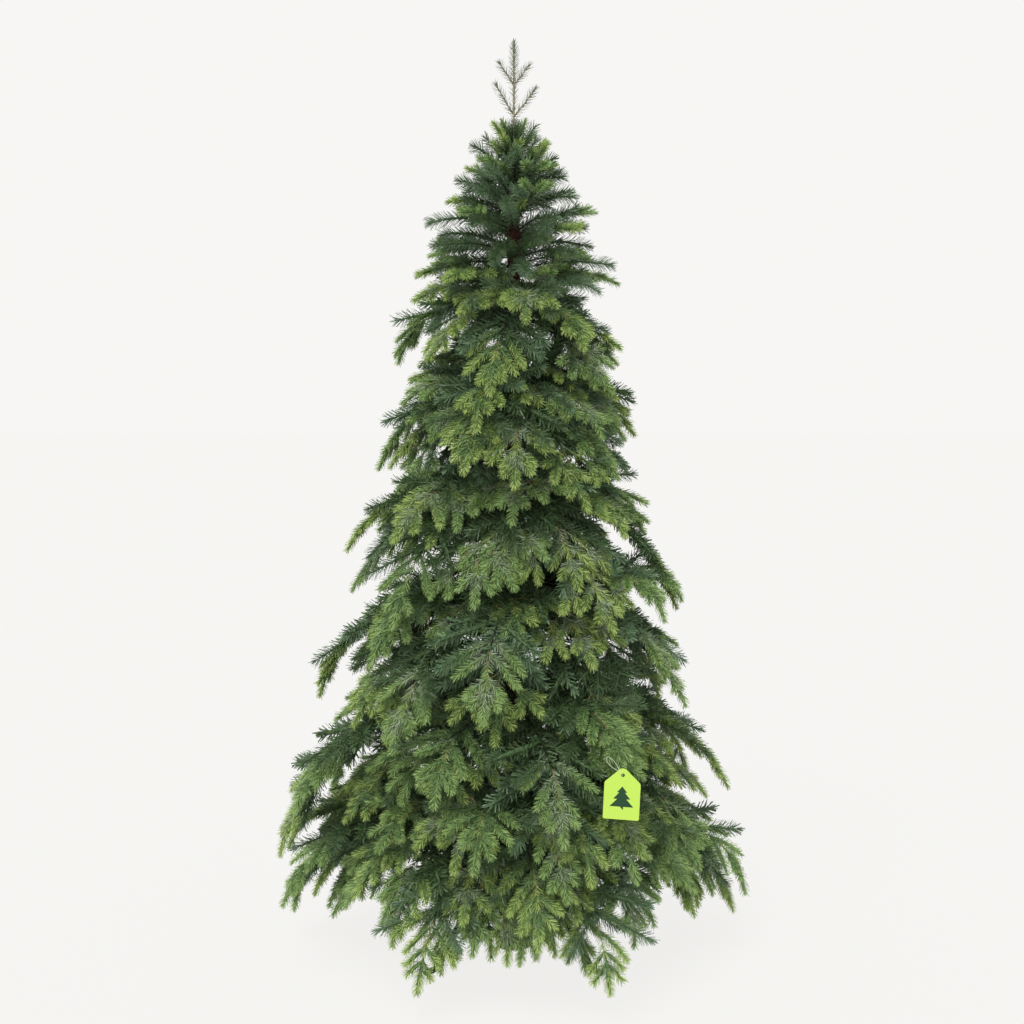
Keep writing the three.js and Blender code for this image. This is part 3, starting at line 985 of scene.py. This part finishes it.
class SPRUCE_OT_stand(bpy.types.Operator):
    """Add the stand: socket with a rolled lip, four arched legs and their rubber feet"""

    bl_idname = "spruce.stand"
    bl_label = "Stand"

    def execute(self, context):
        _, colours = settings()
        paint = material("stand paint", colours.stand_green, 0.32, 0.5, 30, grain=0.0002)
        rubber = material("rubber foot", colours.rubber, 0.7, 0.9, 60, grain=0.0002)
        self.hub(paint)
        for leg in [n for n in NODES if n.startswith("stand_leg_")]:
            self.leg(leg, paint, rubber)
        return {"FINISHED"}

    def hub(self, paint):
        """The socket: a flat base, a wall round the pole and a rolled lip, turned from one profile."""
        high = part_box("stand_hub")[1]
        base = high.x
        bore = pole_radius(0.1) + 0.0003
        wall = bore + 0.0028
        profile = [
            (base - 0.001, 0.0),
            (base, 0.001),
            (base, 0.0045),
            (base - 0.0015, 0.006),
            (wall + 0.003, 0.006),
            (wall, 0.009),
            (wall, high.z - 0.006),
            (wall + 0.0022, high.z - 0.004),
            (wall + 0.0022, high.z - 0.0015),
            (wall, high.z),
            (bore, high.z),
            (bore, 0.007),
        ]
        turn = round_turn(64)
        points = np.array([(r * math.cos(a), r * math.sin(a), z) for r, z in profile for a in turn])
        hub = mesh_object("stand_socket", points, ring_faces(1, len(profile), len(turn)), paint, True)
        finish_piece(hub, "stand_paint", "stand_hub")

    def leg(self, node, paint, rubber):
        """One leg: an arched bar that comes down to a level foot, with a rubber cap on its end."""
        out = heading(azimuth_of(node))
        reach = corners_of(node)[1].max() - 0.003
        start = out * 0.0235 + UP * (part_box(node)[1].z - 0.009)
        end = out * (reach - 0.030) + UP * BAR_RADIUS
        line = arc(start, end, out * 0.10, (out * 0.55 - UP * 0.83) * 0.05, 22)
        foot = np.linspace(end + out * 0.004, out * reach + UP * FOOT_RADIUS, 5)
        path = np.concatenate([line, foot])[None]
        radii = np.full(path.shape[:2], BAR_RADIUS)
        radii[0, -len(foot) :] = FOOT_RADIUS
        tube_piece(f"bar_{node}", path, radii, 14, paint, "stand_paint", node)
        middle = UP * CAP_RADIUS
        cap = np.linspace(out * (reach - 0.024) + middle, out * (reach + 0.002) + middle, 8)[None]
        swell = np.full(cap.shape[:2], CAP_RADIUS)
        swell[0, [0, -2, -1]] = (0.0058, 0.0056, 0.0040)
        tube_piece(f"cap_{node}", cap, swell, 18, rubber, "stand_paint")


# ---- hang tag ---------------------------------------------------------------------------------------

# The tag: where its middle is across and up, and how far it hangs in front of the foremost shoot near it.
TAG_ACROSS = 0.1925
TAG_HEIGHT = 0.430
TAG_GAP = 0.022
TAG_DROP = 0.062  # from the shoot it hangs on to its middle
CARD_SIZE = (0.0640, 0.0930)
CARD_SHOULDER = 0.026  # how far down its upper corners are cut
CARD_NIB = 0.004  # half the width that the cut corners leave at the top
CARD_ROUND = 0.0035
CARD_THICK = 0.0009
CARD_TILT = math.radians(-2.5)
CARD_TURN = 0.12  # how far the card is turned, as a slope
HOLE_RADIUS = 0.0034
HOLE_HEIGHT = 0.0345  # above the card's middle
INK_THICK = 0.0002
THREAD_RADIUS = 0.0004
# Half the outline of the plain conifer printed on the tag, from its tip down: across, up.
MARK = (
    (0.0, 0.014),
    (0.009, 0.003),
    (0.005, 0.003),
    (0.015, -0.009),
    (0.008, -0.009),
    (0.021, -0.023),
    (0.003, -0.023),
    (0.003, -0.029),
)


class SPRUCE_OT_tag(bpy.types.Operator):
    """Add the hang tag, printed with a plain conifer, and the thread that loops over a shoot"""

    bl_idname = "spruce.tag"
    bl_label = "Hang tag"

    def execute(self, context):
        _, colours = settings()
        card = material("tag card", colours.tag_lime, 0.4, 0.55, 25, grain=0.00005)
        thread = material("tag thread", colours.thread, 0.4, 0.6, 80)
        ends = np.concatenate(grown().fingers)
        shoots = np.concatenate([shoot.points for shoot in grown().moulded + grown().flat])
        centre = np.array([TAG_ACROSS, 0.0, TAG_HEIGHT])
        centre[1] = self.foremost(shoots, centre, 0.060, 0.075)[1] - TAG_GAP
        hung = self.foremost(ends, centre + UP * TAG_DROP, 0.024, 0.016)
        outline = self.card_outline(*CARD_SIZE)
        turn = np.linspace(0, 2 * math.pi, len(outline), endpoint=False) + math.pi / 2
        hole = np.stack([HOLE_RADIUS * np.cos(turn), HOLE_HEIGHT + HOLE_RADIUS * np.sin(turn)], 1)
        depths = (-CARD_THICK / 2, CARD_THICK / 2)
        layers = [self.layer(ring, depth, centre) for depth in depths for ring in (outline, hole)]
        place = np.arange(4 * len(outline)).reshape(4, -1)
        after = np.roll(place, -1, 1)
        faces = [
            np.stack([place[0], after[0], after[1], place[1]], 1),
            np.stack([place[2], place[3], after[3], after[2]], 1),
            np.stack([place[0], place[2], after[2], after[0]], 1),
            np.stack([place[1], after[1], after[3], place[3]], 1),
        ]
        piece = mesh_object("hang_tag", np.concatenate(layers), faces, card)
        finish_piece(piece, "foliage")
        self.mark(centre, material("tag ink", colours.ink, 0.5, 0.65, 60))
        self.thread(centre + UP * (HOLE_HEIGHT + 0.002), hung + UP * 0.006, thread)
        return {"FINISHED"}

    def thread(self, eye, over, coat):
        """The loop: from the hole up over a shoot and back, its two sides a little apart."""
        t = np.linspace(0, 1, 40)
        rise = np.sin(math.pi * t)[:, None] ** 0.8
        loop = eye + (over - eye) * np.concatenate([rise, rise**4, rise], 1)
        loop[:, 0] += 0.007 * np.sin(2 * math.pi * t)
        loop[:, 1] -= 0.004 * np.cos(math.pi * t)
        tube_piece("tag_thread", loop[None], np.full((1, len(t)), THREAD_RADIUS), 6, coat, "foliage")

    def layer(self, outline, depth, centre):
        """An outline set in the hanging card's plane, at a depth behind its middle."""
        tilt = np.array(
            [[math.cos(CARD_TILT), -math.sin(CARD_TILT)], [math.sin(CARD_TILT), math.cos(CARD_TILT)]]
        )
        across, up = (outline @ tilt.T).T
        return np.stack([across, depth - CARD_TURN * across, up], 1) + centre

    def foremost(self, points, place, across, up):
        """The point nearest the front of those that stand near a place as the front sees it."""
        near = (np.abs(points[:, 0] - place[0]) < across) & (np.abs(points[:, 2] - place[2]) < up)
        return points[near][points[near][:, 1].argmin()]

    def mark(self, centre, ink):
        """A plain conifer printed on both faces of the card."""
        half = np.array(MARK)
        outline = np.concatenate([half, (half * [-1, 1])[::-1][1:]])
        place = np.arange(2 * len(outline)).reshape(2, -1)
        after = np.roll(place, -1, 1)
        walls = np.stack([place[0], after[0], after[1], place[1]], 1)
        back = [walls, place[1][None], place[0][None, ::-1]]
        front = [face[:, ::-1] for face in back]
        for name, side, faces in (("tag_mark_front", -1, front), ("tag_mark_back", 1, back)):
            depths = (CARD_THICK / 2, CARD_THICK / 2 + INK_THICK)
            layers = [self.layer(outline, side * depth, centre) for depth in depths]
            finish_piece(mesh_object(name, np.concatenate(layers), faces, ink), "foliage")

    def card_outline(self, width, height):
        """The card's edge: a rectangle whose two upper corners are cut, every corner rounded."""
        half = width / 2
        tall = height / 2
        corners = [
            (CARD_NIB, tall),
            (-CARD_NIB, tall),
            (-half, tall - CARD_SHOULDER),
            (-half, -tall),
            (half, -tall),
            (half, tall - CARD_SHOULDER),
        ]
        points = []
        for index, corner in enumerate(corners):
            here = np.array(corner)
            before = np.array(corners[index - 1])
            after = np.array(corners[(index + 1) % len(corners)])
            first = here + unit(before - here) * CARD_ROUND
            last = here + unit(after - here) * CARD_ROUND
            for t in np.linspace(0, 1, 8):
                points.append(first * (1 - t) ** 2 + 2 * here * t * (1 - t) + last * t**2)
        return np.array(points)


# ---- stage ------------------------------------------------------------------------------------------

BACKDROP = (0.930, 0.922, 0.905, 1)
KEY_FROM = (-0.30, -0.75, 1.15)  # where the key light stands, as a direction


class SPRUCE_OT_stage(bpy.types.Operator):
    """Add the floor, the studio light and the camera"""

    bl_idname = "spruce.stage"
    bl_label = "Stage"

    def execute(self, context):
        scene = context.scene
        _, colours = settings()
        stage = scene.spruce_stage
        self.floor(colours)
        self.world(scene)
        self.lamp("key", KEY_FROM, 2.68, 40)
        camera = bpy.data.cameras.new("camera")
        camera.lens = stage.lens
        camera.sensor_width = 36
        camera.shift_x = -0.0015
        eye = bpy.data.objects.new("camera", camera)
        eye.location = (0, -stage.eye_distance, stage.eye_height)
        eye.rotation_euler = (math.pi / 2 - stage.tilt, 0, 0)
        scene.collection.objects.link(eye)
        scene.camera = eye
        scene.view_settings.view_transform = "Standard"
        return {"FINISHED"}

    def floor(self, colours):
        side = np.linspace(-14, 14, 15)
        x, y = np.meshgrid(side, side)
        points = np.stack([x.ravel(), y.ravel(), np.zeros(x.size)], 1)
        place = np.arange(x.size).reshape(x.shape)
        corners = [place[:-1, :-1], place[:-1, 1:], place[1:, 1:], place[1:, :-1]]
        faces = np.stack(corners, -1).reshape(-1, 4)
        pale = material("studio floor", colours.floor, 0.85, 0.95, 3)
        shader = pale.node_tree.nodes["Principled BSDF"]
        shader.inputs["Specular IOR Level"].default_value = 0.0
        shader.inputs["Emission Color"].default_value = BACKDROP
        shader.inputs["Emission Strength"].default_value = 0.905
        mesh_object("studio_floor", points, [faces], pale)

    def world(self, scene):
        world = bpy.data.worlds.new("studio")
        scene.world = world
        world.use_nodes = True
        tree = world.node_tree
        tree.nodes.clear()
        seen = tree.nodes.new("ShaderNodeBackground")
        seen.inputs["Color"].default_value = BACKDROP
        light = tree.nodes.new("ShaderNodeBackground")
        light.inputs["Color"].default_value = (1.0, 1.0, 1.0, 1)
        light.inputs["Strength"].default_value = 0.68
        ray = tree.nodes.new("ShaderNodeLightPath")
        mix = tree.nodes.new("ShaderNodeMixShader")
        out = tree.nodes.new("ShaderNodeOutputWorld")
        tree.links.new(ray.outputs["Is Camera Ray"], mix.inputs[0])
        tree.links.new(light.outputs[0], mix.inputs[1])
        tree.links.new(seen.outputs[0], mix.inputs[2])
        tree.links.new(mix.outputs[0], out.inputs["Surface"])

    def lamp(self, name, towards, strength, spread):
        sun = bpy.data.lights.new(name, "SUN")
        sun.energy = strength
        sun.angle = math.radians(spread)
        lamp = bpy.data.objects.new(name, sun)
        lamp.rotation_euler = Vector(towards).to_track_quat("Z", "Y").to_euler()
        bpy.context.scene.collection.objects.link(lamp)


# ---- panel and running ------------------------------------------------------------------------------

MAKERS = (
    SPRUCE_OT_stage,
    SPRUCE_OT_moulded_needles,
    SPRUCE_OT_flat_needles,
    SPRUCE_OT_stems,
    SPRUCE_OT_pole,
    SPRUCE_OT_leader,
    SPRUCE_OT_stand,
    SPRUCE_OT_tag,
)


class SPRUCE_PT_panel(bpy.types.Panel):
    """Lists what the tree is made of"""

    bl_idname = "SPRUCE_PT_panel"
    bl_label = "Artificial spruce"
    bl_space_type = "VIEW_3D"
    bl_region_type = "UI"
    bl_category = "Spruce"

    def draw(self, context):
        for maker in MAKERS:
            self.layout.operator(maker.bl_idname)
        for group in (context.scene.spruce_sizes, context.scene.spruce_colours, context.scene.spruce_stage):
            for name in group.__annotations__:
                self.layout.prop(group, name)


CLASSES = (SpruceSizes, SpruceColours, SpruceStage, *MAKERS, SPRUCE_PT_panel)


def register():
    for item in CLASSES:
        bpy.utils.register_class(item)
    bpy.types.Scene.spruce_sizes = PointerProperty(type=SpruceSizes)
    bpy.types.Scene.spruce_colours = PointerProperty(type=SpruceColours)
    bpy.types.Scene.spruce_stage = PointerProperty(type=SpruceStage)


def unregister():
    del bpy.types.Scene.spruce_sizes
    del bpy.types.Scene.spruce_colours
    del bpy.types.Scene.spruce_stage
    for item in reversed(CLASSES):
        bpy.utils.unregister_class(item)


def main():
    register()
    for maker in MAKERS:
        area, name = maker.bl_idname.split(".")
        getattr(getattr(bpy.ops, area), name)()


if __name__ == "__main__":
    main()
